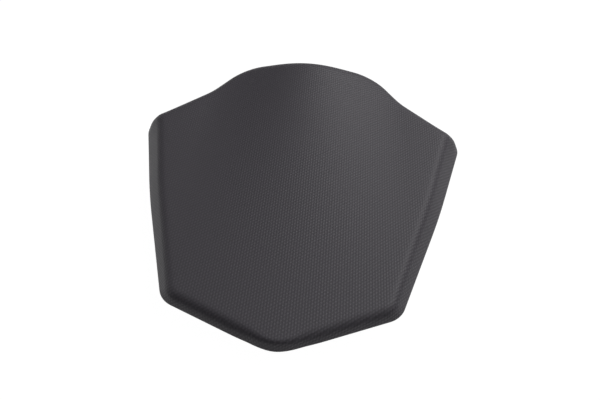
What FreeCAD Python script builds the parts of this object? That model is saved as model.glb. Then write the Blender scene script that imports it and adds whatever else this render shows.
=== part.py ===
import FreeCAD, Part
import math
import os
from FreeCAD import Vector

# Pillion seat of a sports motorcycle: a thin moulded foam pad under an embossed vinyl cover, on a
# ribbed plastic base pan. The cover is pulled over the pan's edge and stapled underneath. The pan has
# two tongues that hook under the frame in front, a steel striker for the seat lock, and four rubber
# buffers that the seat rests on. All sizes are in millimetres.
# Frame: +X to the right, +Y towards the front of the motorcycle, +Z up. The origin is on the floor
# under the buffers, midway along the seat's length and width.

# Plan of the cover's lower edge, with setbacks measured from its front or its rear tip
seat_length = 263.5
front_half_width = 124.8
front_corner_setback = 61.0
rear_half_width = 85.7
rear_corner_setback = 34.6
side_bow = 2.8
side_bow_y = -2.0
shoulder_width = 48.9
hump_root_setback = 23.0
hump_flank_width = 18.0
hump_corner_setback = 2.6

# Rounding of that plan's corners: a radius, or how far from the sharp corner the arc starts
rear_corner_radius = 18.5
side_bow_radius = 620.0
front_corner_radius = 16.0
tip_reach = 20.0
hump_root_reach = 5.6
hump_corner_reach = 18.7
hump_front_reach = 22.0

# How far each wall of the pad leans in, as inset per unit of height
rear_lean = 0.22
side_lean = 0.50
shoulder_lean = 0.50
hump_flank_lean = 0.42
hump_front_lean = 0.30

# Top of the pad, as heights above the cover's lower edge
rear_edge_height = 9.5
front_edge_height = 20.0
edge_rise_bow = 0.6
rear_crown = 0.5
hump_crown = 17.8
rear_crown_half_width = 105.0
hump_crown_inset = 3.7
edge_radius = 8.0
lower_edge_radius = 1.8

# Cover and its staples
cover_thickness = 1.2
hem_width = 15.0
staple_crown = 10.0
staple_leg = 3.4
staple_wire = 0.8
staple_edge_distance = 8.5
staple_pitch = 19.0

# Base pan
ride_height = 24.0
pan_thickness = 3.0
rim_rib_gap = 1.5
rim_rib_thickness = 2.4
rim_rib_depth = 7.0
rib_thickness = 2.0
rib_depth = 8.0
rib_spacing_x = 24.0
rib_spacing_y = 24.5
rib_rows_each_way = 5

# Rubber buffers and the pan pillars that hold them
buffer_front_inset = 48.8
buffer_front_setback = 76.75
buffer_rear_inset = 33.7
buffer_rear_setback = 54.75
buffer_diameter = 21.0
buffer_height = 8.0
buffer_edge_radius = 2.0
stem_diameter = 9.0
stem_length = 9.0
pillar_diameter = 19.0

# Front tongues
tongue_x = 30.0
tongue_width = 22.0
tongue_thickness = 4.0
tongue_tip_setback = 2.5
tongue_reach = 27.0
tongue_root_length = 8.0
tongue_drop = 14.0
tongue_nose_radius = 3.0
tongue_gusset_thickness = 3.0
tongue_gusset_length = 18.0

# Lock striker
striker_y = -34.0
rod_diameter = 8.0
rod_span = 30.0
rod_bend_radius = 9.0
rod_floor_gap = 2.5
plate_length = 72.0
plate_width = 26.0
plate_thickness = 3.0
plate_corner_radius = 5.0
plate_margin = 3.0
boss_depth = 3.2
screw_spacing = 56.0
screw_diameter = 6.0
screw_head_diameter = 12.0
screw_head_height = 4.5
screw_socket_width = 4.0
screw_socket_depth = 2.6
screw_end_gap = 1.0
insert_diameter = 9.0

# Places and levels that the sizes above set
front_y = seat_length / 2.0
tip_y = -seat_length / 2.0
hump_root_half_width = front_half_width - shoulder_width
hump_half_width = hump_root_half_width - hump_flank_width
hump_crown_half_width = hump_root_half_width - hump_crown_inset
buffer_front_x = front_half_width - buffer_front_inset
buffer_rear_x = rear_half_width - buffer_rear_inset
tongue_root_y = front_y - tongue_tip_setback - tongue_reach - tongue_root_length
hem_top = ride_height + cover_thickness
pan_top = hem_top + pan_thickness
plate_top = hem_top - boss_depth
plate_bottom = plate_top - plate_thickness
above_all = ride_height + 1.1 * (front_edge_height + hump_crown)

UP = Vector(0, 0, 1)


def edge_insets(inset, height):
    """Inset of each wall, from the tip round the right side to the front, at a height above the lower edge."""
    leans = [rear_lean, side_lean, side_lean, shoulder_lean, hump_flank_lean, hump_front_lean]
    half = [inset + lean * height for lean in leans]
    return half + half[::-1]


def nose(half_width, setback, nose_y, reach):
    """Level of the sharp midline point, level of its side corners and radius, for a rounded nose at nose_y."""
    way = math.copysign(1.0, nose_y)
    slope = math.atan2(setback, half_width - reach / 2.0)
    point_y = nose_y + way * reach * math.tan(slope / 2.0)
    corner_y = point_y - way * half_width * math.tan(slope)
    return point_y, corner_y, reach / math.tan(slope)


def arc_radius(before, corner, after, reach):
    """Radius of the arc that rounds a corner and starts at reach from it."""
    back = math.atan2(before[1] - corner[1], before[0] - corner[0])
    ahead = math.atan2(after[1] - corner[1], after[0] - corner[0])
    return reach * abs(math.tan((ahead - back) / 2.0))


def plan_corners():
    """Sharp corners of the plan as (x, y, radius), anticlockwise from the rear tip."""
    tip_point_y, rear_corner_y, tip_radius = nose(rear_half_width, rear_corner_setback, tip_y, tip_reach)
    front_point_y, hump_corner_y, front_radius = nose(hump_half_width, hump_corner_setback, front_y, hump_front_reach)
    front_corner = (front_half_width, front_y - front_corner_setback)
    hump_root = (hump_root_half_width, front_y - hump_root_setback)
    hump_corner = (hump_half_width, hump_corner_y)
    front_point = (0.0, front_point_y)
    bow_share = (side_bow_y - rear_corner_y) / (front_corner[1] - rear_corner_y)
    bow_x = rear_half_width + bow_share * (front_half_width - rear_half_width) + side_bow
    right = [
        (rear_half_width, rear_corner_y, rear_corner_radius),
        (bow_x, side_bow_y, side_bow_radius),
        (*front_corner, front_corner_radius),
        (*hump_root, arc_radius(front_corner, hump_root, hump_corner, hump_root_reach)),
        (*hump_corner, arc_radius(hump_root, hump_corner, front_point, hump_corner_reach)),
    ]
    left = [(-x, y, radius) for x, y, radius in reversed(right)]
    return [(0.0, tip_point_y, tip_radius)] + right + [(*front_point, front_radius)] + left


def inset_corners(corners, insets):
    """Corners of the same plan with edge i, from corner i to the next, moved inwards by insets[i]."""
    count = len(corners)
    lines = []
    for i in range(count):
        x0, y0, _ = corners[i]
        x1, y1, _ = corners[(i + 1) % count]
        length = math.hypot(x1 - x0, y1 - y0)
        ux, uy = (x1 - x0) / length, (y1 - y0) / length
        lines.append((x0 - uy * insets[i], y0 + ux * insets[i], ux, uy))
    moved = []
    for i in range(count):
        px, py, ux, uy = lines[i - 1]
        qx, qy, vx, vy = lines[i]
        turn = ux * vy - uy * vx
        along = ((qx - px) * vy - (qy - py) * vx) / turn
        mean_inset = (insets[i - 1] + insets[i]) / 2.0
        radius = corners[i][2] - math.copysign(min(mean_inset, corners[i][2] * 0.5), turn)
        moved.append((px + ux * along, py + uy * along, radius))
    return moved


def rounded_wire(corners, z):
    """Closed wire at height z through the corners, each rounded by its own radius."""
    count = len(corners)
    arcs = []
    for i in range(count):
        here = Vector(corners[i][0], corners[i][1], z)
        back = (Vector(corners[i - 1][0], corners[i - 1][1], z) - here).normalize()
        ahead_corner = corners[(i + 1) % count]
        ahead = (Vector(ahead_corner[0], ahead_corner[1], z) - here).normalize()
        half_angle = back.getAngle(ahead) / 2.0
        reach = corners[i][2] / math.tan(half_angle)
        bisector = (back + ahead).normalize()
        middle = here + bisector * (corners[i][2] / math.sin(half_angle) - corners[i][2])
        arcs.append((here + back * reach, middle, here + ahead * reach))
    edges = []
    for i in range(count):
        start, middle, end = arcs[i]
        edges.append(Part.Arc(start, middle, end).toShape())
        edges.append(Part.LineSegment(end, arcs[(i + 1) % count][0]).toShape())
    return Part.Wire(edges)


def plan_wire(inset, z):
    """Outline of the leaning walls at height z, inset from the cover's outside."""
    return rounded_wire(inset_corners(plan_corners(), edge_insets(inset, z - ride_height)), z)


def plan_prism(inset, bottom, top):
    """Upright block with the outline of the cover's lower edge, inset all round."""
    corners = inset_corners(plan_corners(), edge_insets(inset, 0.0))
    face = Part.Face(rounded_wire(corners, bottom))
    return face.extrude(UP * (top - bottom))


def slab(bottom, top):
    """Block wider than the seat between two levels."""
    size = 2.0 * seat_length
    return Part.makeBox(size, size, top - bottom, Vector(-size / 2.0, -size / 2.0, bottom))


def pad_height(x, y):
    """Height of the pad's top above the cover's lower edge: a low crown that grows into the front hump."""
    share = y / seat_length + 0.5
    rise = share * (1.0 + edge_rise_bow * (1.0 - share))
    edge = rear_edge_height + (front_edge_height - rear_edge_height) * rise
    crown = rear_crown + (hump_crown - rear_crown) * share * abs(share)
    half_width = rear_crown_half_width + (hump_crown_half_width - rear_crown_half_width) * share
    across = min(1.0, abs(x) / half_width)
    return edge + crown * (0.5 + 0.5 * math.cos(math.pi * across))


def pad_top_surface(sink):
    """Smooth face over the whole plan at the pad's top, lowered by sink."""
    reach_x = 1.15 * front_half_width
    reach_y = 0.56 * seat_length
    columns = 19
    rows = 9
    grid = []
    for i in range(columns):
        x = -reach_x + 2.0 * reach_x * i / (columns - 1)
        line = []
        for j in range(rows):
            y = -reach_y + 2.0 * reach_y * j / (rows - 1)
            line.append(Vector(x, y, ride_height + pad_height(x, y) - sink))
        grid.append(line)
    surface = Part.BSplineSurface()
    surface.interpolate(grid)
    return surface.toShape()


def pad_body(inset):
    """The upholstered form from its lower edge up: leaning walls, crowned top and a rounded upper edge."""
    walls = Part.makeLoft([plan_wire(inset, ride_height), plan_wire(inset, above_all)], True, True)
    waste = pad_top_surface(inset).extrude(UP * 2.0 * above_all)
    body = walls.cut(waste).Solids[0]
    lowest_top = ride_height + rear_edge_height / 2.0
    upper = [e for e in body.Edges if e.BoundBox.ZMin > lowest_top]
    return body.makeFillet(edge_radius - inset, upper)


def seat_cover(outer, inner, staples):
    """Vinyl skin over the pad, with its hem turned in under the pan."""
    lower = [e for e in outer.Edges if e.BoundBox.ZMax < ride_height + 0.01]
    skin = outer.makeFillet(lower_edge_radius, lower)
    hem_opening = plan_prism(hem_width, ride_height - 1.0, hem_top)
    return skin.cut(inner.common(slab(hem_top, above_all))).cut(hem_opening).cut(staples)


def foam_pad(inner):
    """Moulded foam between the cover and the pan."""
    return inner.common(slab(pan_top, above_all))


def buffer_places():
    """Name and centre of each buffer."""
    places = {}
    for side, sign in (("left", -1.0), ("right", 1.0)):
        places["front_" + side] = Vector(sign * buffer_front_x, front_y - buffer_front_setback, 0)
        places["rear_" + side] = Vector(sign * buffer_rear_x, tip_y + buffer_rear_setback, 0)
    return places


def rest_buffer(place):
    """Rubber foot with a stem that plugs into a pillar of the pan."""
    foot = Part.makeCylinder(buffer_diameter / 2.0, buffer_height, place)
    sole = [e for e in foot.Edges if e.BoundBox.ZMax < 0.01]
    foot = foot.makeFillet(buffer_edge_radius, sole)
    stem = Part.makeCylinder(stem_diameter / 2.0, stem_length, place + UP * buffer_height)
    return foot.fuse(stem).removeSplitter()


def pillar(place):
    """Pillar under the pan, bored for a buffer's stem."""
    height = hem_top - buffer_height
    post = Part.makeCylinder(pillar_diameter / 2.0, height, place + UP * buffer_height)
    return post.cut(Part.makeCylinder(stem_diameter / 2.0, stem_length, place + UP * buffer_height))


def tongue(side):
    """Hook that drops from the pan and runs forward under the frame, with a gusset behind it."""
    x0 = side * tongue_x - tongue_width / 2.0
    top = hem_top - tongue_drop
    root = Part.makeBox(tongue_width, tongue_root_length, hem_top - top + tongue_thickness)
    root.translate(Vector(x0, tongue_root_y, top - tongue_thickness))
    blade = Part.makeBox(tongue_width, tongue_reach, tongue_thickness)
    blade.translate(Vector(x0, tongue_root_y + tongue_root_length, top - tongue_thickness))
    tip_y = tongue_root_y + tongue_root_length + tongue_reach
    nose = [e for e in blade.Edges if e.BoundBox.YMin > tip_y - 0.01 and e.BoundBox.ZLength > 1.0]
    blade = blade.makeFillet(tongue_nose_radius, nose)
    back = [
        Vector(0, tongue_root_y, hem_top),
        Vector(0, tongue_root_y - tongue_gusset_length, hem_top),
        Vector(0, tongue_root_y, top - tongue_thickness),
    ]
    gusset = Part.Face(Part.makePolygon(back + back[:1])).extrude(Vector(tongue_gusset_thickness, 0, 0))
    gusset.translate(Vector(side * tongue_x - tongue_gusset_thickness / 2.0, 0, 0))
    return root.fuse([blade, gusset])


def rounded_plate(length, width, thickness, radius, bottom):
    """Flat plate centred on the striker, with rounded upright corners."""
    plate = Part.makeBox(length, width, thickness)
    plate.translate(Vector(-length / 2.0, striker_y - width / 2.0, bottom))
    upright = [e for e in plate.Edges if e.BoundBox.ZLength > 0.9 * thickness]
    return plate.makeFillet(radius, upright)


def screw_places():
    """Centres of the striker's screws at floor level."""
    return [Vector(side * screw_spacing / 2.0, striker_y, 0) for side in (-1.0, 1.0)]


def striker_loop():
    """Round steel rod bent to a U, its ends set in the striker plate."""
    half = rod_span / 2.0
    low = rod_floor_gap + rod_diameter / 2.0
    turn = rod_bend_radius
    corner = turn * math.sqrt(0.5)
    points = {
        "left_top": Vector(-half, striker_y, plate_top),
        "left_bend": Vector(-half, striker_y, low + turn),
        "left_middle": Vector(-half + turn - corner, striker_y, low + turn - corner),
        "left_low": Vector(-half + turn, striker_y, low),
        "right_low": Vector(half - turn, striker_y, low),
        "right_middle": Vector(half - turn + corner, striker_y, low + turn - corner),
        "right_bend": Vector(half, striker_y, low + turn),
        "right_top": Vector(half, striker_y, plate_top),
    }
    path = Part.Wire(
        [
            Part.LineSegment(points["left_top"], points["left_bend"]).toShape(),
            Part.Arc(points["left_bend"], points["left_middle"], points["left_low"]).toShape(),
            Part.LineSegment(points["left_low"], points["right_low"]).toShape(),
            Part.Arc(points["right_low"], points["right_middle"], points["right_bend"]).toShape(),
            Part.LineSegment(points["right_bend"], points["right_top"]).toShape(),
        ]
    )
    section = Part.Wire(Part.makeCircle(rod_diameter / 2.0, points["left_top"], UP))
    return path.makePipeShell([section], True, True)


def striker_plate(loop):
    """Steel plate that the rod is welded into, drilled for its screws."""
    plate = rounded_plate(plate_length, plate_width, plate_thickness, plate_corner_radius, plate_bottom)
    for place in screw_places():
        plate = plate.cut(Part.makeCylinder(screw_diameter / 2.0, above_all, place))
    return plate.cut(loop)


def hexagon(width, z, place):
    """Face of a hexagon with the given width across flats."""
    radius = width / math.sqrt(3.0)
    corners = []
    for i in range(7):
        angle = math.radians(60.0 * i)
        corners.append(Vector(place.x + radius * math.cos(angle), place.y + radius * math.sin(angle), z))
    return Part.Face(Part.makePolygon(corners))


def striker_screw(place):
    """Button-head screw with a hexagon socket, up through the plate into an insert."""
    head_bottom = plate_bottom - screw_head_height
    head = Part.makeCylinder(screw_head_diameter / 2.0, screw_head_height, place + UP * head_bottom)
    crown = [e for e in head.Edges if e.BoundBox.ZMax < head_bottom + 0.01]
    head = head.makeFillet(screw_head_height * 0.6, crown)
    shank_length = pan_top - screw_end_gap - plate_bottom
    shank = Part.makeCylinder(screw_diameter / 2.0, shank_length, place + UP * plate_bottom)
    socket = hexagon(screw_socket_width, head_bottom, place).extrude(UP * screw_socket_depth)
    return head.fuse(shank).cut(socket).removeSplitter()


def thread_insert(place):
    """Brass bush moulded into the pan for a striker screw."""
    length = pan_top - plate_top
    bush = Part.makeCylinder(insert_diameter / 2.0, length, place + UP * plate_top)
    return bush.cut(Part.makeCylinder(screw_diameter / 2.0, length, place + UP * plate_top))


def staple(centre, along):
    """Wire staple: a flat crown under the hem and two legs driven up through it into the pan."""
    outward = Vector(-along.y, along.x, 0)
    half = staple_crown / 2.0
    crown_bottom = ride_height - staple_wire
    inner = half - staple_wire
    leg_top = ride_height + staple_leg
    profile = [
        (-half, crown_bottom),
        (half, crown_bottom),
        (half, leg_top),
        (inner, leg_top),
        (inner, ride_height),
        (-inner, ride_height),
        (-inner, leg_top),
        (-half, leg_top),
    ]
    start = centre - outward * (staple_wire / 2.0)
    corners = [start + along * s + UP * z for s, z in profile]
    return Part.Face(Part.makePolygon(corners + corners[:1])).extrude(outward * staple_wire)


def cover_staples():
    """Staples at an even pitch along each straight run of the hem."""
    corners = inset_corners(plan_corners(), edge_insets(staple_edge_distance, 0.0))
    made = []
    for i in range(len(corners)):
        start = Vector(corners[i][0], corners[i][1], 0)
        ahead_corner = corners[(i + 1) % len(corners)]
        run = Vector(ahead_corner[0], ahead_corner[1], 0) - start
        along = Vector(run).normalize()
        count = max(1, int(run.Length / staple_pitch))
        step = run.Length / count
        for k in range(count):
            made.append(staple(start + along * (step * (k + 0.5)), along))
    return made


def rib_grid():
    """Crossed stiffening ribs under the pan, inside the rim rib."""
    inside = plan_prism(hem_width + rim_rib_gap, hem_top - rib_depth, hem_top)
    ribs = []
    reach = seat_length
    for i in range(-rib_rows_each_way, rib_rows_each_way + 1):
        along_y = Part.makeBox(rib_thickness, 2.0 * reach, rib_depth)
        along_y.translate(Vector(i * rib_spacing_x - rib_thickness / 2.0, -reach, hem_top - rib_depth))
        along_x = Part.makeBox(2.0 * reach, rib_thickness, rib_depth)
        along_x.translate(Vector(-reach, i * rib_spacing_y - rib_thickness / 2.0, hem_top - rib_depth))
        ribs += [along_y, along_x]
    return ribs[0].fuse(ribs[1:]).common(inside)


def rim_rib():
    """Rib round the pan just inside the hem, which covers the cut edge of the vinyl."""
    outside = hem_width + rim_rib_gap
    bottom = hem_top - rim_rib_depth
    wall = plan_prism(outside, bottom, hem_top)
    return wall.cut(plan_prism(outside + rim_rib_thickness, bottom, hem_top))


def base_pan(inner, staples):
    """Moulded pan: plate, rim rib, rib grid, pillars, tongues and the boss for the striker."""
    floor_plate = inner.common(slab(hem_top, pan_top))
    pocket = rounded_plate(
        plate_length + 2.0 * plate_margin,
        plate_width + 2.0 * plate_margin,
        rib_depth,
        plate_corner_radius + plate_margin,
        hem_top - rib_depth,
    )
    boss = rounded_plate(
        plate_length + 2.0 * plate_margin,
        plate_width + 2.0 * plate_margin,
        boss_depth,
        plate_corner_radius + plate_margin,
        plate_top,
    )
    ribs = rib_grid().fuse(rim_rib()).cut(pocket)
    for place in buffer_places().values():
        ribs = ribs.cut(Part.makeCylinder(stem_diameter / 2.0, stem_length, place + UP * buffer_height))
    pieces = [ribs, boss] + [pillar(place) for place in buffer_places().values()]
    pieces += [tongue(side) for side in (-1.0, 1.0)]
    pan = floor_plate.fuse(pieces)
    for place in screw_places():
        pan = pan.cut(Part.makeCylinder(insert_diameter / 2.0, above_all, place))
    return pan.cut(staples).removeSplitter()


def build():
    """Every piece of the seat by name."""
    outer = pad_body(0.0)
    inner = pad_body(cover_thickness)
    staples = cover_staples()
    loop = striker_loop()
    pieces = {
        "seat_cover": seat_cover(outer, inner, staples),
        "foam_pad": foam_pad(inner),
        "base_pan": base_pan(inner, staples),
        "cover_staples": Part.makeCompound(staples),
        "striker_loop": loop,
        "striker_plate": striker_plate(loop),
        "striker_screws": Part.makeCompound([striker_screw(place) for place in screw_places()]),
        "thread_inserts": Part.makeCompound([thread_insert(place) for place in screw_places()]),
    }
    for name, place in buffer_places().items():
        pieces["rest_buffer_" + name] = rest_buffer(place)
    return pieces


os.makedirs("parts", exist_ok=True)
for name, shape in build().items():
    shape.exportStep("parts/" + name + ".step")
    print(name, len(shape.Solids), "solids", round(shape.Volume, 1), "mm3", "valid" if shape.isValid() else "NOT VALID")
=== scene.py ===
import math

import bpy
import numpy as np
from mathutils import Matrix, Vector
from mathutils.geometry import delaunay_2d_cdt


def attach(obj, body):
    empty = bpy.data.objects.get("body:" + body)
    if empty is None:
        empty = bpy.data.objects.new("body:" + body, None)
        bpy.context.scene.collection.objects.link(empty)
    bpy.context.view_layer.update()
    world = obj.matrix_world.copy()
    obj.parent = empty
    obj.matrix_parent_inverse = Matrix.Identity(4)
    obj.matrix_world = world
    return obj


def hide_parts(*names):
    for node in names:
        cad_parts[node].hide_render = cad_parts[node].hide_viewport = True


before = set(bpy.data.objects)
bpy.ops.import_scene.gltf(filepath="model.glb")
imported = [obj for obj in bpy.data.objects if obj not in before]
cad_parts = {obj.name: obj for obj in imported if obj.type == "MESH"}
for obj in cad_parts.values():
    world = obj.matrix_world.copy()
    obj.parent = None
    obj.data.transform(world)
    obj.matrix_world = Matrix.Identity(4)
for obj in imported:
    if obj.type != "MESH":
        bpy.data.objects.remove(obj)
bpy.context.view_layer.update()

# Base pan
# The injection-moulded polypropylene pan under the foam, with its ribs, pillars and front tongues. The
# tool is spark-eroded, which leaves a fine matt grain, a little shinier where the ribs were polished.
PAN_BLACK = (0.021, 0.021, 0.023, 1.0)
PAN_BLACK_WORN = (0.034, 0.034, 0.036, 1.0)
PAN_FLOW = 38.0
PAN_ROUGHNESS = (0.48, 0.62)
PAN_GRAIN = 2600.0
PAN_GRAIN_DETAIL = 2.0
PAN_GRAIN_DEPTH = 0.00012
PAN_GRAIN_STRENGTH = 0.6


def new_finish(name):
    """A node material and its principled shader."""
    finish = bpy.data.materials.new(name)
    finish.use_nodes = True
    return finish, finish.node_tree.nodes["Principled BSDF"]


def add_node(finish, kind, **values):
    """A node with its plain properties and unlinked sockets set."""
    node = finish.node_tree.nodes.new(kind)
    for key, value in values.items():
        if hasattr(node, key):
            setattr(node, key, value)
        else:
            node.inputs[key.replace("_", " ")].default_value = value
    return node


def join(finish, source, target):
    """Link from one socket to another."""
    finish.node_tree.links.new(source, target)


def speckle(finish, scale, detail=3.0):
    """Noise over the piece's own place in the frame."""
    place = add_node(finish, "ShaderNodeTexCoord")
    noise = add_node(finish, "ShaderNodeTexNoise", Scale=scale, Detail=detail)
    join(finish, place.outputs["Object"], noise.inputs["Vector"])
    return noise.outputs["Fac"]


def tint(finish, shader, amount, dark, light, low=0.35, high=0.65):
    """Base colour that runs from dark to light as amount goes from low to high."""
    ramp = add_node(finish, "ShaderNodeValToRGB")
    ramp.color_ramp.elements[0].position = low
    ramp.color_ramp.elements[0].color = dark
    ramp.color_ramp.elements[1].position = high
    ramp.color_ramp.elements[1].color = light
    join(finish, amount, ramp.inputs["Fac"])
    join(finish, ramp.outputs["Color"], shader.inputs["Base Color"])


def roughen(finish, shader, amount, roughness):
    """Roughness that runs from its first value to its second as amount goes from 0 to 1."""
    spread = add_node(finish, "ShaderNodeMapRange", To_Min=roughness[0], To_Max=roughness[1])
    join(finish, amount, spread.inputs["Value"])
    join(finish, spread.outputs["Result"], shader.inputs["Roughness"])


def relief(finish, shader, height, depth, strength=1.0):
    """Bump of the given depth in metres under the shader."""
    bump = add_node(finish, "ShaderNodeBump", Strength=strength, Distance=depth)
    join(finish, height, bump.inputs["Height"])
    join(finish, bump.outputs["Normal"], shader.inputs["Normal"])


def dress(node, finish):
    """Puts a finish on a CAD piece."""
    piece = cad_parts[node]
    piece.data.materials.clear()
    piece.data.materials.append(finish)


pan_plastic, pan_shader = new_finish("pan_plastic")
pan_cloud = speckle(pan_plastic, PAN_FLOW)
pan_grain = speckle(pan_plastic, PAN_GRAIN, PAN_GRAIN_DETAIL)
tint(pan_plastic, pan_shader, pan_cloud, PAN_BLACK, PAN_BLACK_WORN)
roughen(pan_plastic, pan_shader, pan_cloud, PAN_ROUGHNESS)
relief(pan_plastic, pan_shader, pan_grain, PAN_GRAIN_DEPTH, PAN_GRAIN_STRENGTH)
dress("base_pan", pan_plastic)

# Foam pad
# Moulded polyurethane foam that carries the rider. It has a tight skin from the mould with fine open
# cells, and the cover hides all of it.
FOAM_GREY = (0.10, 0.10, 0.098, 1.0)
FOAM_GREY_PALE = (0.17, 0.17, 0.165, 1.0)
FOAM_ROUGHNESS = 0.95
FOAM_CELLS = 900.0
FOAM_CELL_DEPTH = 0.0004

pad_foam, foam_shader = new_finish("pad_foam")
foam_cells = speckle(pad_foam, FOAM_CELLS)
tint(pad_foam, foam_shader, foam_cells, FOAM_GREY, FOAM_GREY_PALE)
foam_shader.inputs["Roughness"].default_value = FOAM_ROUGHNESS
relief(pad_foam, foam_shader, foam_cells, FOAM_CELL_DEPTH)
dress("foam_pad", pad_foam)

# Seat cover
# One piece of vinyl leathercloth with a fine embossed weave, stretched over the pad without a seam. It
# goes down the leaning walls, round the pan's edge and in under it as a hem, which the staples hold.
MM = 0.001
RIDE_HEIGHT = 24.0
COVER_THICKNESS = 1.0
HEM_WIDTH = 15.0
LOWER_EDGE_RADIUS = 1.8
# The top's rolled edge, which is tighter at the rear tip
EDGE_RADIUS = 8.0
TIP_EDGE_RADIUS = 4.0
TIP_EDGE_HALF_WIDTH = 20.0
# How far each wall leans in for each unit of height: rear, side, side, shoulder, hump flank, hump front
LEANS = [0.22, 0.58, 0.58, 0.50, 0.42, 0.30]
SEAT_LENGTH = 263.5
FRONT_Y = SEAT_LENGTH / 2.0
TIP_Y = -SEAT_LENGTH / 2.0
# Right half of the plan from the rear corner to the hump: half width, place along the seat, corner radius
PLAN_RIGHT = [
    (85.7, TIP_Y + 34.8, 18.5),
    (110.6, -2.0, 620.0),
    (124.8, FRONT_Y - 61.0, 16.0),
    (75.9, FRONT_Y - 23.0, 59.5),
    (57.9, FRONT_Y - 2.6, 44.7),
]
FRONT_CORNER = 2
TIP_RADIUS = 43.8
HUMP_FRONT_RADIUS = 397.0
# A corner's radius grows or shrinks with the lean by no more than this share of itself
RADIUS_CHANGE_LIMIT = 0.5
REAR_EDGE_HEIGHT = 9.5
FRONT_EDGE_HEIGHT = 20.0
EDGE_RISE_BOW = 0.6
REAR_CROWN = 0.5
HUMP_CROWN = 17.8
REAR_CROWN_HALF_WIDTH = 105.0
HUMP_CROWN_HALF_WIDTH = 72.2
# Rings of the mesh round the seat: points on each ring, and where the rings lie
RING_POINT_STEP = 2.2
ARC_POINTS_LEAST = 8
LINE_POINTS_LEAST = 6
HEM_RING_SHARES = (1.0, 0.8, 0.6, 0.4, 0.25)
LOWER_EDGE_TURNS = (-90.0, -67.0, -45.0, -22.0, 0.0)
WALL_RINGS = 6
ROLL_RINGS = 8
EDGE_HEIGHT_PASSES = 30
TOP_SLOPE_REACH = 3.0
# Even triangles of the mesh on the top, with room left inside the last ring
TOP_MESH_STEP = 3.0
TOP_MESH_HALF_WIDTH = 130.0
TOP_MESH_HALF_LENGTH = 140.0
TOP_ROW_STEP = 0.866 * TOP_MESH_STEP
RIM_ROOM_INWARD = 0.6 * TOP_MESH_STEP
RIM_ROOM = 0.7 * TOP_MESH_STEP
KEEP_INSIDE = 1
WELD_GAP = 1e-6
# How much closer the weave lies for each millimetre towards the front, where the vinyl is pulled less
WEAVE_GATHER = 0.0009


def nose_point(half_width, corner_y, nose_y, radius):
    """Sharp point on the midline which, rounded by radius, has its nose at nose_y."""
    way = math.copysign(1.0, nose_y - corner_y)
    depth = way * (nose_y - corner_y) - radius
    slope = math.asin(radius / math.hypot(half_width, depth)) + math.atan2(depth, half_width)
    return (0.0, corner_y + way * half_width * math.tan(slope), radius)


def plan_corners():
    """Sharp corners of the cover's lower edge with their radii, anticlockwise from the rear tip."""
    rear, front = PLAN_RIGHT[0], PLAN_RIGHT[-1]
    tip = nose_point(rear[0], rear[1], TIP_Y, TIP_RADIUS)
    nose = nose_point(front[0], front[1], FRONT_Y, HUMP_FRONT_RADIUS)
    left = [(-x, y, radius) for x, y, radius in reversed(PLAN_RIGHT)]
    return [tip] + PLAN_RIGHT + [nose] + left


def unit(rows):
    """Each row of an array, made one unit long."""
    return rows / np.linalg.norm(rows, axis=1)[:, None]


def ring_at(height, inset, counts):
    """Points round the leaning walls at a height, with the same count on each stretch at any height."""
    corners = plan_corners()
    insets = [inset + lean * height for lean in LEANS + LEANS[::-1]]
    total = len(corners)
    lines = []
    for i in range(total):
        start = np.array(corners[i][:2])
        run = np.array(corners[(i + 1) % total][:2]) - start
        run /= np.linalg.norm(run)
        lines.append((start + insets[i] * np.array([-run[1], run[0]]), run))
    rounded = []
    for i in range(total):
        (p, u), (q, v) = lines[i - 1], lines[i]
        turn = u[0] * v[1] - u[1] * v[0]
        along = ((q[0] - p[0]) * v[1] - (q[1] - p[1]) * v[0]) / turn
        corner = p + u * along
        mean_inset = (insets[i - 1] + insets[i]) / 2.0
        change = min(mean_inset, corners[i][2] * RADIUS_CHANGE_LIMIT)
        radius = corners[i][2] - math.copysign(change, turn)
        half_turn = math.asin(min(1.0, abs(turn))) / 2.0
        reach = radius * math.tan(half_turn)
        enter, leave = corner - u * reach, corner + v * reach
        centre = enter + math.copysign(radius, turn) * np.array([-u[1], u[0]])
        first = math.atan2(*(enter - centre)[::-1])
        sweep = math.copysign(2.0 * half_turn, turn)
        rounded.append((centre, radius, first, sweep, enter, leave))
    points = []
    for i in range(total):
        centre, radius, first, sweep, _, leave = rounded[i]
        on_arc, on_line = counts[i]
        for k in range(on_arc):
            angle = first + sweep * k / on_arc
            points.append(centre + radius * np.array([math.cos(angle), math.sin(angle)]))
        arrive = rounded[(i + 1) % total][4]
        for k in range(on_line):
            points.append(leave + (arrive - leave) * k / on_line)
    return np.array(points)


def pad_height(x, y):
    """Height of the pad's top above the lower edge: a low crown that grows into the front hump."""
    share = y / SEAT_LENGTH + 0.5
    rise = share * (1.0 + EDGE_RISE_BOW * (1.0 - share))
    edge = REAR_EDGE_HEIGHT + (FRONT_EDGE_HEIGHT - REAR_EDGE_HEIGHT) * rise
    crown = REAR_CROWN + (HUMP_CROWN - REAR_CROWN) * share * np.abs(share)
    half_width = REAR_CROWN_HALF_WIDTH + (HUMP_CROWN_HALF_WIDTH - REAR_CROWN_HALF_WIDTH) * share
    across = np.minimum(1.0, np.abs(x) / half_width)
    return edge + crown * (0.5 + 0.5 * np.cos(np.pi * across))


def stretch_counts(step):
    """How many points each rounded corner and each straight stretch of the plan takes at a spacing."""
    corners = plan_corners()
    counts = []
    for i, (x, y, radius) in enumerate(corners):
        back = np.array(corners[i - 1][:2]) - (x, y)
        ahead = np.array(corners[(i + 1) % len(corners)][:2]) - (x, y)
        cosine = back @ ahead / np.linalg.norm(back) / np.linalg.norm(ahead)
        arc = radius * (math.pi - math.acos(cosine))
        line = np.linalg.norm(ahead)
        on_arc = max(ARC_POINTS_LEAST, round(arc / step))
        on_line = max(LINE_POINTS_LEAST, round(line / step))
        counts.append((on_arc, on_line))
    return counts


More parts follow.
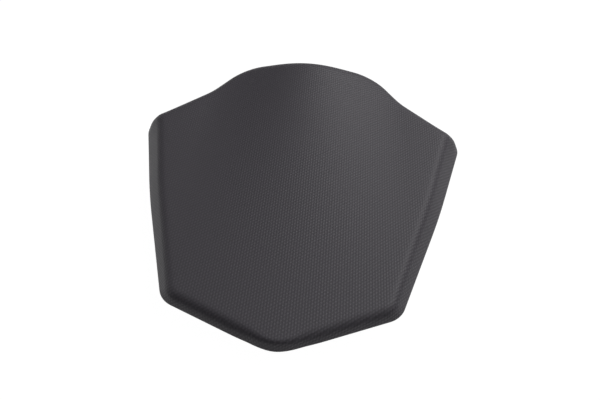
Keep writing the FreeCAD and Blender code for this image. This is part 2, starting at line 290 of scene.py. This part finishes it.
def cover_rings():
    """Rings of points from the hem's cut edge, round the lower edge, up the wall and over onto the top."""
    counts = stretch_counts(RING_POINT_STEP)
    low = ring_at(0.0, 0.0, counts)
    rise = ring_at(1.0, 0.0, counts) - low
    height = np.full(len(low), REAR_EDGE_HEIGHT)
    for _ in range(EDGE_HEIGHT_PASSES):
        spot = low + rise * height[:, None]
        height = pad_height(spot[:, 0], spot[:, 1])
    edge = np.column_stack([low + rise * height[:, None], height])
    along = unit(np.roll(edge[:, :2], -1, axis=0) - np.roll(edge[:, :2], 1, axis=0))
    inward = np.column_stack([-along[:, 1], along[:, 0]]) * TOP_SLOPE_REACH
    probe = edge[:, :2] + inward
    onto_top = unit(np.column_stack([inward, pad_height(probe[:, 0], probe[:, 1]) - edge[:, 2]]))
    down_wall = unit(np.column_stack([-rise, -np.ones(len(low))]))
    half_angle = np.arccos(np.clip((onto_top * down_wall).sum(1), -1.0, 1.0)) / 2.0
    at_tip = np.exp(-((low[:, 0] / TIP_EDGE_HALF_WIDTH) ** 2)) * (low[:, 1] < 0.0)
    roll = EDGE_RADIUS + (TIP_EDGE_RADIUS - EDGE_RADIUS) * at_tip
    reach = roll / np.tan(half_angle)
    bisector = unit(onto_top + down_wall)
    centre = edge + bisector * (roll / np.sin(half_angle))[:, None]
    wall_end = edge + down_wall * reach[:, None]
    top_end = edge + onto_top * reach[:, None]
    rings = []
    for share in HEM_RING_SHARES:
        inset = LOWER_EDGE_RADIUS + (HEM_WIDTH - LOWER_EDGE_RADIUS) * share
        hem = ring_at(0.0, inset, counts)
        rings.append(np.column_stack([hem, np.zeros(len(hem))]))
    tuck = ring_at(0.0, LOWER_EDGE_RADIUS, counts)
    out = unit(low - tuck)
    for turn in np.radians(LOWER_EDGE_TURNS):
        spot = tuck + out * LOWER_EDGE_RADIUS * math.cos(turn)
        lift = LOWER_EDGE_RADIUS * (1.0 + math.sin(turn))
        rings.append(np.column_stack([spot + rise * lift, np.full(len(low), lift)]))
    wall_start = rings[-1]
    for share in np.linspace(0.0, 1.0, WALL_RINGS + 1)[1:]:
        rings.append(wall_start + (wall_end - wall_start) * share)
    spoke_from = wall_end - centre
    spoke_to = top_end - centre
    sweep = np.arccos(np.clip((spoke_from * spoke_to).sum(1) / roll**2, -1.0, 1.0))
    for share in np.linspace(0.0, 1.0, ROLL_RINGS + 1)[1:]:
        a = np.sin((1.0 - share) * sweep) / np.sin(sweep)
        b = np.sin(share * sweep) / np.sin(sweep)
        rings.append(centre + spoke_from * a[:, None] + spoke_to * b[:, None])
    return rings


def cover_mesh(rings):
    """Mesh of the cover's outside, with each point's place on the flat vinyl as an attribute."""
    around = len(rings[0])
    faces = []
    for r in range(len(rings) - 1):
        for k in range(around):
            n = (k + 1) % around
            faces.append((r * around + k, r * around + n, (r + 1) * around + n, (r + 1) * around + k))
    rim = rings[-1][:, :2]
    out = unit(rings[-2][:, :2] - rim)
    flats = [rim]
    travelled = np.zeros(around)
    for r in range(len(rings) - 2, -1, -1):
        travelled = travelled + np.linalg.norm(rings[r] - rings[r + 1], axis=1)
        flats.insert(0, rim + out * travelled[:, None])
    inside = []
    columns = np.arange(-TOP_MESH_HALF_WIDTH, TOP_MESH_HALF_WIDTH, TOP_MESH_STEP)
    rows = np.arange(-TOP_MESH_HALF_LENGTH, TOP_MESH_HALF_LENGTH, TOP_ROW_STEP)
    for j, y in enumerate(rows):
        for x in columns + (j % 2) * TOP_MESH_STEP / 2.0:
            gaps = np.hypot(rim[:, 0] - x, rim[:, 1] - y)
            near = int(np.argmin(gaps))
            inward = (rim[near] - (x, y)) @ out[near]
            if inward > RIM_ROOM_INWARD and gaps[near] > RIM_ROOM:
                inside.append((x, y))
    inside = np.array(inside)
    spots = [Vector(p) for p in np.concatenate([rim, inside])]
    loop = [(k, (k + 1) % around) for k in range(around)]
    _, _, triangles, origins, _, _ = delaunay_2d_cdt(spots, loop, [], KEEP_INSIDE, WELD_GAP)
    base = (len(rings) - 1) * around
    for triangle in triangles:
        faces.append(tuple(base + origins[i][0] for i in triangle))
    tops = np.column_stack([inside, pad_height(inside[:, 0], inside[:, 1])])
    places = (np.concatenate(rings + [tops]) + (0.0, 0.0, RIDE_HEIGHT)) * MM
    flat = np.concatenate(flats + [inside])
    gathered_x = flat[:, 0] * (1.0 + WEAVE_GATHER * flat[:, 1])
    gathered_y = flat[:, 1] + WEAVE_GATHER * (flat[:, 1] ** 2 - flat[:, 0] ** 2) / 2.0
    gathered = np.column_stack([gathered_x, gathered_y, np.zeros(len(flat))])
    mesh = bpy.data.meshes.new("seat_cover_vinyl")
    mesh.from_pydata([tuple(p) for p in places], [], faces)
    spread = mesh.attributes.new("flat_vinyl", "FLOAT_VECTOR", "POINT")
    spread.data.foreach_set("vector", gathered.astype(np.float32).ravel())
    mesh.shade_smooth()
    mesh.validate()
    return mesh


seat_rings = cover_rings()
cover = bpy.data.objects.new("seat_cover_vinyl", cover_mesh(seat_rings))
bpy.context.scene.collection.objects.link(cover)

# The foam presses the walls outwards, while staples hold the hem and glue holds the top and its rolled edge
SWELL_STEPS = 12
SWELL_PRESSURE = 9.0
SWELL_LIMIT = 2.6
GLUE_HOLD = 0.9
CLOTH_QUALITY = 6
CLOTH_MASS = 0.3
CLOTH_STRETCH = 6.0
CLOTH_SHEAR = 3.0
CLOTH_BEND = 0.2
HEIGHT_SLACK = 0.01
LEAST_MOVE = 1e-9


def points_of(mesh):
    """Places of a mesh's points in millimetres."""
    flat = np.empty(len(mesh.vertices) * 3, dtype=np.float32)
    mesh.vertices.foreach_get("co", flat)
    return flat.reshape(-1, 3).astype(float) / MM


def move_points(mesh, places):
    """Puts a mesh's points at places in millimetres."""
    mesh.vertices.foreach_set("co", (places * MM).astype(np.float32).ravel())
    mesh.update()


def swell(piece, rings):
    """Lets the foam's pressure round out the cover, and keeps each point's move under the limit."""
    start = points_of(piece.data)
    hold = piece.vertex_groups.new(name="held")
    stapled = np.flatnonzero(start[:, 2] < RIDE_HEIGHT + LOWER_EDGE_RADIUS + HEIGHT_SLACK)
    hold.add([int(i) for i in stapled], 1.0, "REPLACE")
    first_glued = (len(rings) - ROLL_RINGS) * len(rings[0])
    hold.add(list(range(first_glued, len(start))), GLUE_HOLD, "REPLACE")
    cloth = piece.modifiers.new("swell", "CLOTH")
    cloth.settings.quality = CLOTH_QUALITY
    cloth.settings.mass = CLOTH_MASS
    cloth.settings.tension_stiffness = CLOTH_STRETCH
    cloth.settings.compression_stiffness = CLOTH_STRETCH
    cloth.settings.shear_stiffness = CLOTH_SHEAR
    cloth.settings.bending_stiffness = CLOTH_BEND
    cloth.settings.use_pressure = True
    cloth.settings.uniform_pressure_force = SWELL_PRESSURE
    cloth.settings.vertex_group_mass = "held"
    cloth.settings.effector_weights.gravity = 0.0
    cloth.collision_settings.use_collision = False
    cloth.point_cache.frame_start = 1
    cloth.point_cache.frame_end = SWELL_STEPS
    for step in range(1, SWELL_STEPS + 1):
        bpy.context.scene.frame_set(step)
    swollen = piece.evaluated_get(bpy.context.evaluated_depsgraph_get())
    move = points_of(swollen.data) - start
    bpy.context.scene.frame_set(1)
    piece.modifiers.remove(cloth)
    piece.vertex_groups.clear()
    far = np.linalg.norm(move, axis=1)
    move *= (np.minimum(far, SWELL_LIMIT) / np.maximum(far, LEAST_MOVE))[:, None]
    move_points(piece.data, start + move)


swell(cover, seat_rings)

# The foam is fuller at the front corners and comes to a point at the rear tip, and the hem sags a little
# between one staple and the next
CORNER_FILL = 2.2
CORNER_FILL_SPREAD = 13.0
CORNER_FILL_WAY = (0.80, 0.60)
TIP_POINT = 0.6
TIP_POINT_HALF_WIDTH = 8.0
TIP_FLANK_X = 18.0
TIP_FADE = 22.0
HEM_SAG = 0.5
HEM_SAG_SPREAD = 5.0

formed = points_of(cover.data)
level = np.clip((formed[:, 2] - RIDE_HEIGHT) / FRONT_EDGE_HEIGHT, 0.0, 1.0)
fullness = CORNER_FILL * np.sin(np.pi * level) ** 2
corner_x, corner_y, _ = PLAN_RIGHT[FRONT_CORNER]
for side in (-1.0, 1.0):
    from_corner = np.hypot(formed[:, 0] - side * corner_x, formed[:, 1] - corner_y)
    push = fullness * np.exp(-((from_corner / CORNER_FILL_SPREAD) ** 2))
    formed[:, 0] += side * CORNER_FILL_WAY[0] * push
    formed[:, 1] += CORNER_FILL_WAY[1] * push
at_tip = np.exp(-((formed[:, 0] / TIP_POINT_HALF_WIDTH) ** 2))
beside_tip = np.exp(-(((np.abs(formed[:, 0]) - TIP_FLANK_X) / TIP_POINT_HALF_WIDTH) ** 2))
near_tip = np.exp(-(((formed[:, 1] - TIP_Y) / TIP_FADE) ** 2))
formed[:, 1] += TIP_POINT * (beside_tip - at_tip) * near_tip
staple_points = points_of(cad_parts["cover_staples"].data)
on_hem = np.flatnonzero(formed[:, 2] < RIDE_HEIGHT + HEIGHT_SLACK)
for i in on_hem:
    nearest = np.hypot(*(staple_points[:, :2] - formed[i, :2]).T).min()
    formed[i, 2] -= HEM_SAG * (1.0 - math.exp(-((nearest / HEM_SAG_SPREAD) ** 2)))
move_points(cover.data, formed)

sheet_thickness = cover.modifiers.new("sheet_thickness", "SOLIDIFY")
sheet_thickness.thickness = COVER_THICKNESS * MM
sheet_thickness.offset = -1.0

# The weave is embossed: threads over and under, a rib along each thread, and a slant as in twill
# The two vinyl greys are lit and shaded copies of one colour: painted shade in the weave's hollows and a
# painted highlight on its raised threads, over the bump's own shading
VINYL_GREY_PAINTED_SHADE_IN_HOLLOWS = (0.0425, 0.0385, 0.0465, 1.0)
VINYL_GREY_PAINTED_LIGHT_ON_RAISED = (0.0575, 0.0520, 0.0630, 1.0)
VINYL_ROUGHNESS = (0.62, 0.48)
VINYL_SPECULAR = 0.45
WEAVE_ACROSS = 3.7
WEAVE_ALONG = 2.65
WEAVE_OVER_SHARE = 0.5
WEAVE_RIB_SHARE = 0.6
WEAVE_TWILL_SHARE = 0.6
WEAVE_SHARES = WEAVE_OVER_SHARE + WEAVE_RIB_SHARE + WEAVE_TWILL_SHARE
WEAVE_PAINTED_SHADE_BELOW = 0.2
WEAVE_PAINTED_LIGHT_ABOVE = 0.8
WEAVE_DEPTH = 0.00020


def arithmetic(finish, operation, *values):
    """One sum on sockets or numbers."""
    node = add_node(finish, "ShaderNodeMath", operation=operation)
    for socket, value in zip(node.inputs, values):
        if isinstance(value, (int, float)):
            socket.default_value = value
        else:
            join(finish, value, socket)
    return node.outputs[0]


def wave(finish, along, period):
    """Cosine of a place over its period."""
    turns = arithmetic(finish, "MULTIPLY", along, 2.0 * math.pi / period)
    return arithmetic(finish, "COSINE", turns)


cover_vinyl, vinyl_shader = new_finish("cover_vinyl")
flat_place = add_node(cover_vinyl, "ShaderNodeAttribute", attribute_name="flat_vinyl")
flat_axes = add_node(cover_vinyl, "ShaderNodeSeparateXYZ")
join(cover_vinyl, flat_place.outputs["Vector"], flat_axes.inputs["Vector"])
flat_x, flat_y = flat_axes.outputs["X"], flat_axes.outputs["Y"]
wave_across = wave(cover_vinyl, flat_x, WEAVE_ACROSS)
wave_along = wave(cover_vinyl, flat_y, WEAVE_ALONG)
rib_across = wave(cover_vinyl, flat_x, WEAVE_ACROSS / 2.0)
over_under = arithmetic(cover_vinyl, "MULTIPLY", wave_across, wave_along)
turns_across = arithmetic(cover_vinyl, "DIVIDE", flat_x, WEAVE_ACROSS)
turns_along = arithmetic(cover_vinyl, "DIVIDE", flat_y, WEAVE_ALONG)
twill = wave(cover_vinyl, arithmetic(cover_vinyl, "SUBTRACT", turns_across, turns_along), 1.0)
crossed = arithmetic(cover_vinyl, "MULTIPLY", over_under, WEAVE_OVER_SHARE)
ribbed = arithmetic(cover_vinyl, "MULTIPLY", rib_across, WEAVE_RIB_SHARE)
twilled = arithmetic(cover_vinyl, "MULTIPLY", twill, WEAVE_TWILL_SHARE)
weave_height = arithmetic(cover_vinyl, "ADD", crossed, arithmetic(cover_vinyl, "ADD", ribbed, twilled))
weave_level = arithmetic(cover_vinyl, "MULTIPLY_ADD", weave_height, 0.5 / WEAVE_SHARES, 0.5)
# The base colour follows the weave's height, so it paints shade into the hollows and a highlight onto the
# raised parts
weave_painted_light_limits = (WEAVE_PAINTED_SHADE_BELOW, WEAVE_PAINTED_LIGHT_ABOVE)
tint(cover_vinyl, vinyl_shader, weave_level, VINYL_GREY_PAINTED_SHADE_IN_HOLLOWS, VINYL_GREY_PAINTED_LIGHT_ON_RAISED, *weave_painted_light_limits)
roughen(cover_vinyl, vinyl_shader, weave_level, VINYL_ROUGHNESS)
vinyl_shader.inputs["Specular IOR Level"].default_value = VINYL_SPECULAR
relief(cover_vinyl, vinyl_shader, weave_level, WEAVE_DEPTH)
cover.data.materials.append(cover_vinyl)
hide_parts("seat_cover")
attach(cover, "root")

# Cover staples
# Flat-wire staples of galvanised steel, dulled unevenly by the zinc. An air gun drives them through the
# hem into the pan's flange.
STAPLE_GREY = (0.42, 0.42, 0.43, 1.0)
STAPLE_GREY_DULL = (0.27, 0.27, 0.28, 1.0)
STAPLE_ROUGHNESS = (0.3, 0.5)
STAPLE_CLOUD = 400.0

staple_steel, staple_shader = new_finish("staple_steel")
staple_cloud = speckle(staple_steel, STAPLE_CLOUD)
tint(staple_steel, staple_shader, staple_cloud, STAPLE_GREY_DULL, STAPLE_GREY)
roughen(staple_steel, staple_shader, staple_cloud, STAPLE_ROUGHNESS)
staple_shader.inputs["Metallic"].default_value = 1.0
dress("cover_staples", staple_steel)

# Rest buffers
# Moulded rubber feet that plug into the pan's pillars and carry the seat on the motorcycle. They are
# matt black, with a faint bloom on the surface.
BUFFER_BLACK = (0.016, 0.016, 0.016, 1.0)
BUFFER_BLOOM = (0.035, 0.035, 0.034, 1.0)
BUFFER_ROUGHNESS = (0.7, 0.85)
BUFFER_CLOUD = 160.0
BUFFER_GRAIN = 1800.0
BUFFER_GRAIN_DEPTH = 0.0001
BUFFER_GRAIN_STRENGTH = 0.5

buffer_rubber, rubber_shader = new_finish("buffer_rubber")
rubber_cloud = speckle(buffer_rubber, BUFFER_CLOUD)
rubber_grain = speckle(buffer_rubber, BUFFER_GRAIN)
tint(buffer_rubber, rubber_shader, rubber_cloud, BUFFER_BLACK, BUFFER_BLOOM)
roughen(buffer_rubber, rubber_shader, rubber_cloud, BUFFER_ROUGHNESS)
relief(buffer_rubber, rubber_shader, rubber_grain, BUFFER_GRAIN_DEPTH, BUFFER_GRAIN_STRENGTH)
for corner in ("front_left", "front_right", "rear_left", "rear_right"):
    dress("rest_buffer_" + corner, buffer_rubber)

# Striker plate
# A pressed steel plate that holds the striker loop, screwed up against the pan's boss. Its black paint is
# thin and a little uneven.
PLATE_BLACK = (0.018, 0.018, 0.019, 1.0)
PLATE_BLACK_THIN = (0.030, 0.030, 0.031, 1.0)
PLATE_ROUGHNESS = (0.28, 0.4)
PLATE_CLOUD = 220.0
PLATE_PEEL = 700.0
PLATE_PEEL_DEPTH = 0.00008
PLATE_PEEL_STRENGTH = 0.5

plate_steel, plate_shader = new_finish("plate_steel")
plate_cloud = speckle(plate_steel, PLATE_CLOUD)
plate_peel = speckle(plate_steel, PLATE_PEEL)
tint(plate_steel, plate_shader, plate_cloud, PLATE_BLACK, PLATE_BLACK_THIN)
roughen(plate_steel, plate_shader, plate_cloud, PLATE_ROUGHNESS)
relief(plate_steel, plate_shader, plate_peel, PLATE_PEEL_DEPTH, PLATE_PEEL_STRENGTH)
dress("striker_plate", plate_steel)

# Striker loop
# Zinc-plated steel rod that the seat lock takes hold of. It is bent cold to a U and welded into the plate,
# and the plating is bright in patches.
ROD_GREY = (0.38, 0.38, 0.39, 1.0)
ROD_BRIGHT = (0.62, 0.62, 0.61, 1.0)
ROD_ROUGHNESS = (0.24, 0.42)
ROD_CLOUD = 140.0
ROD_CLOUD_DETAIL = 5.0
ROD_GRAIN = 1500.0
ROD_GRAIN_DEPTH = 0.00005
ROD_GRAIN_STRENGTH = 0.4

rod_steel, rod_shader = new_finish("rod_steel")
rod_cloud = speckle(rod_steel, ROD_CLOUD, ROD_CLOUD_DETAIL)
rod_grain = speckle(rod_steel, ROD_GRAIN)
tint(rod_steel, rod_shader, rod_cloud, ROD_GREY, ROD_BRIGHT)
roughen(rod_steel, rod_shader, rod_cloud, ROD_ROUGHNESS)
rod_shader.inputs["Metallic"].default_value = 1.0
relief(rod_steel, rod_shader, rod_grain, ROD_GRAIN_DEPTH, ROD_GRAIN_STRENGTH)
dress("striker_loop", rod_steel)

# Striker screws
# Button-head screws of zinc-plated steel with a hexagon socket, the same grey as the rod. They are
# tightened up through the plate into the thread inserts.
SCREW_ROUGHNESS = (0.25, 0.4)
SCREW_CLOUD = 260.0

screw_steel, screw_shader = new_finish("screw_steel")
screw_cloud = speckle(screw_steel, SCREW_CLOUD)
tint(screw_steel, screw_shader, screw_cloud, ROD_GREY, ROD_BRIGHT)
roughen(screw_steel, screw_shader, screw_cloud, SCREW_ROUGHNESS)
screw_shader.inputs["Metallic"].default_value = 1.0
dress("striker_screws", screw_steel)

# Thread inserts
# Knurled brass bushes with a thread for the striker screws, which the pan is moulded round. Foam, pan and
# plate hide them.
BRASS = (0.62, 0.43, 0.14, 1.0)
BRASS_DARK = (0.45, 0.30, 0.10, 1.0)
BRASS_ROUGHNESS = 0.35
BRASS_CLOUD = 300.0

insert_brass, brass_shader = new_finish("insert_brass")
brass_cloud = speckle(insert_brass, BRASS_CLOUD)
tint(insert_brass, brass_shader, brass_cloud, BRASS_DARK, BRASS)
brass_shader.inputs["Metallic"].default_value = 1.0
brass_shader.inputs["Roughness"].default_value = BRASS_ROUGHNESS
dress("thread_inserts", insert_brass)

# Studio
# A white floor that keeps a soft shadow, a soft key light high on the front right, and weak ones at the
# right rear and low on the left. White surroundings show in the gloss, darker near the camera and low down.
WHITE = (1.0, 1.0, 1.0, 1.0)
FLOOR_HALF = 3.0
FLOOR_PAINT = (0.86, 0.86, 0.86, 1.0)
FLOOR_GLOW_SHARE = 0.9
FLOOR_GLOW = 1.1
# The floor's glow in the gloss fades to a share of itself from one place along the seat to the other
FLOOR_NEAR_CAMERA_SHARE = 0.3
FLOOR_NEAR_Y = -0.22
FLOOR_FAR_Y = -0.06
LIGHTS_AIM = (0.0, 0.0, 0.04)
KEY_PLACE = (0.48, 0.56, 0.82)
KEY_SIZE = 0.7
KEY_POWER = 6.8
LEFT_PLACE = (-0.80, 0.05, 0.22)
LEFT_SIZE = 0.5
LEFT_POWER = 0.75
REAR_PLACE = (0.40, -0.32, 0.78)
REAR_SIZE = 0.7
REAR_POWER = 1.5
FILL = 0.05
# The surroundings' brightness in the gloss, by the direction's Y, and its share by the direction's Z
SURROUND = 0.34
SURROUND_NEAR_CAMERA = 0.03
SURROUND_NEAR_Y = -0.60
SURROUND_FAR_Y = 0.10
SURROUND_LOW_SHARE = 0.4
SURROUND_HIGH_SHARE = 1.8
SURROUND_LOW_Z = 0.10
SURROUND_HIGH_Z = 0.95
CAMERA_ELEVATION = 50.0
CAMERA_YAW = 5.6
CAMERA_ROLL = -0.2
CAMERA_DISTANCE = 0.9
CAMERA_TARGET = (0.00325, 0.0155, 0.006)
CAMERA_AIM_RISE = 0.003876
CAMERA_LENS = 69.66
CAMERA_SENSOR = 36.0
CAMERA_CLIP = 0.01


def fade(finish, amount, ends, values):
    """A number that runs from the first value to the second as amount goes from end to end."""
    ramp = add_node(finish, "ShaderNodeMapRange", From_Min=ends[0], From_Max=ends[1])
    ramp.inputs["To Min"].default_value = values[0]
    ramp.inputs["To Max"].default_value = values[1]
    join(finish, amount, ramp.inputs["Value"])
    return ramp.outputs["Result"]


floor_mesh = bpy.data.meshes.new("studio_floor")
floor_signs = ((-1, -1), (1, -1), (1, 1), (-1, 1))
floor_corners = [(sx * FLOOR_HALF, sy * FLOOR_HALF, 0.0) for sx, sy in floor_signs]
floor_mesh.from_pydata(floor_corners, [], [(0, 1, 2, 3)])
floor = bpy.data.objects.new("studio_floor", floor_mesh)
bpy.context.scene.collection.objects.link(floor)
floor_white = bpy.data.materials.new("floor_white")
floor_white.use_nodes = True
floor_white.node_tree.nodes.clear()
floor_out = add_node(floor_white, "ShaderNodeOutputMaterial")
floor_paint = add_node(floor_white, "ShaderNodeBsdfDiffuse", Color=FLOOR_PAINT)
floor_glow = add_node(floor_white, "ShaderNodeEmission", Color=WHITE, Strength=FLOOR_GLOW)
floor_mix = add_node(floor_white, "ShaderNodeMixShader")
floor_path = add_node(floor_white, "ShaderNodeLightPath")
floor_place = add_node(floor_white, "ShaderNodeTexCoord")
floor_axes = add_node(floor_white, "ShaderNodeSeparateXYZ")
join(floor_white, floor_place.outputs["Object"], floor_axes.inputs["Vector"])
floor_ends = (FLOOR_NEAR_Y, FLOOR_FAR_Y)
floor_far = fade(floor_white, floor_axes.outputs["Y"], floor_ends, (FLOOR_NEAR_CAMERA_SHARE, 1.0))
in_shine = arithmetic(floor_white, "MULTIPLY", floor_far, floor_path.outputs["Is Glossy Ray"])
seen = arithmetic(floor_white, "MAXIMUM", floor_path.outputs["Is Camera Ray"], in_shine)
seen = arithmetic(floor_white, "MAXIMUM", seen, floor_path.outputs["Is Transmission Ray"])
glow_share = arithmetic(floor_white, "MULTIPLY", seen, FLOOR_GLOW_SHARE)
join(floor_white, glow_share, floor_mix.inputs["Fac"])
join(floor_white, floor_paint.outputs["BSDF"], floor_mix.inputs[1])
join(floor_white, floor_glow.outputs["Emission"], floor_mix.inputs[2])
join(floor_white, floor_mix.outputs["Shader"], floor_out.inputs["Surface"])
floor_mesh.materials.append(floor_white)


def soft_light(name, place, size, power):
    """Square area light that faces the seat."""
    lamp = bpy.data.lights.new(name, "AREA")
    lamp.shape = "SQUARE"
    lamp.size = size
    lamp.energy = power
    holder = bpy.data.objects.new(name, lamp)
    holder.location = place
    holder.rotation_euler = (Vector(LIGHTS_AIM) - Vector(place)).to_track_quat("-Z", "Y").to_euler()
    bpy.context.scene.collection.objects.link(holder)


soft_light("key_light", KEY_PLACE, KEY_SIZE, KEY_POWER)
soft_light("rear_light", REAR_PLACE, REAR_SIZE, REAR_POWER)
soft_light("left_light", LEFT_PLACE, LEFT_SIZE, LEFT_POWER)

studio = bpy.data.worlds.new("studio")
studio.use_nodes = True
bpy.context.scene.world = studio
sky = studio.node_tree.nodes["Background"]
sky.inputs["Color"].default_value = WHITE
sky_path = add_node(studio, "ShaderNodeLightPath")
sky_place = add_node(studio, "ShaderNodeTexCoord")
sky_axes = add_node(studio, "ShaderNodeSeparateXYZ")
join(studio, sky_place.outputs["Generated"], sky_axes.inputs["Vector"])
surround_ends = (SURROUND_NEAR_Y, SURROUND_FAR_Y)
surround = fade(studio, sky_axes.outputs["Y"], surround_ends, (SURROUND_NEAR_CAMERA, SURROUND))
height_ends = (SURROUND_LOW_Z, SURROUND_HIGH_Z)
high_up = fade(studio, sky_axes.outputs["Z"], height_ends, (SURROUND_LOW_SHARE, SURROUND_HIGH_SHARE))
shine = arithmetic(studio, "MULTIPLY", surround, high_up)
in_gloss = arithmetic(studio, "MULTIPLY", shine, sky_path.outputs["Is Glossy Ray"])
in_view = arithmetic(studio, "MAXIMUM", in_gloss, sky_path.outputs["Is Camera Ray"])
in_view = arithmetic(studio, "MAXIMUM", in_view, sky_path.outputs["Is Transmission Ray"])
even_fill = arithmetic(studio, "MULTIPLY", sky_path.outputs["Is Diffuse Ray"], FILL)
join(studio, arithmetic(studio, "MAXIMUM", in_view, even_fill), sky.inputs["Strength"])

elevation, yaw, roll = (math.radians(a) for a in (CAMERA_ELEVATION, CAMERA_YAW, CAMERA_ROLL))
target = Vector(CAMERA_TARGET)
level_out = math.cos(elevation)
away = Vector((math.sin(yaw) * level_out, -math.cos(yaw) * level_out, math.sin(elevation)))
right = Vector((math.cos(yaw), math.sin(yaw), 0.0))
up = away.cross(right)
stand = target + away * CAMERA_DISTANCE
back = (stand - (target + up * CAMERA_AIM_RISE)).normalized()
up = back.cross(right)
tilted_right = right * math.cos(roll) + up * math.sin(roll)
tilted_up = up * math.cos(roll) - right * math.sin(roll)
facing = Matrix((tilted_right, tilted_up, back)).transposed().to_4x4()
lens = bpy.data.cameras.new("photo_camera")
lens.sensor_width = CAMERA_SENSOR
lens.lens = CAMERA_LENS
lens.clip_start = CAMERA_CLIP
camera = bpy.data.objects.new("photo_camera", lens)
camera.matrix_world = Matrix.Translation(stand) @ facing
bpy.context.scene.collection.objects.link(camera)
bpy.context.scene.camera = camera
bpy.context.scene.view_settings.view_transform = "Standard"
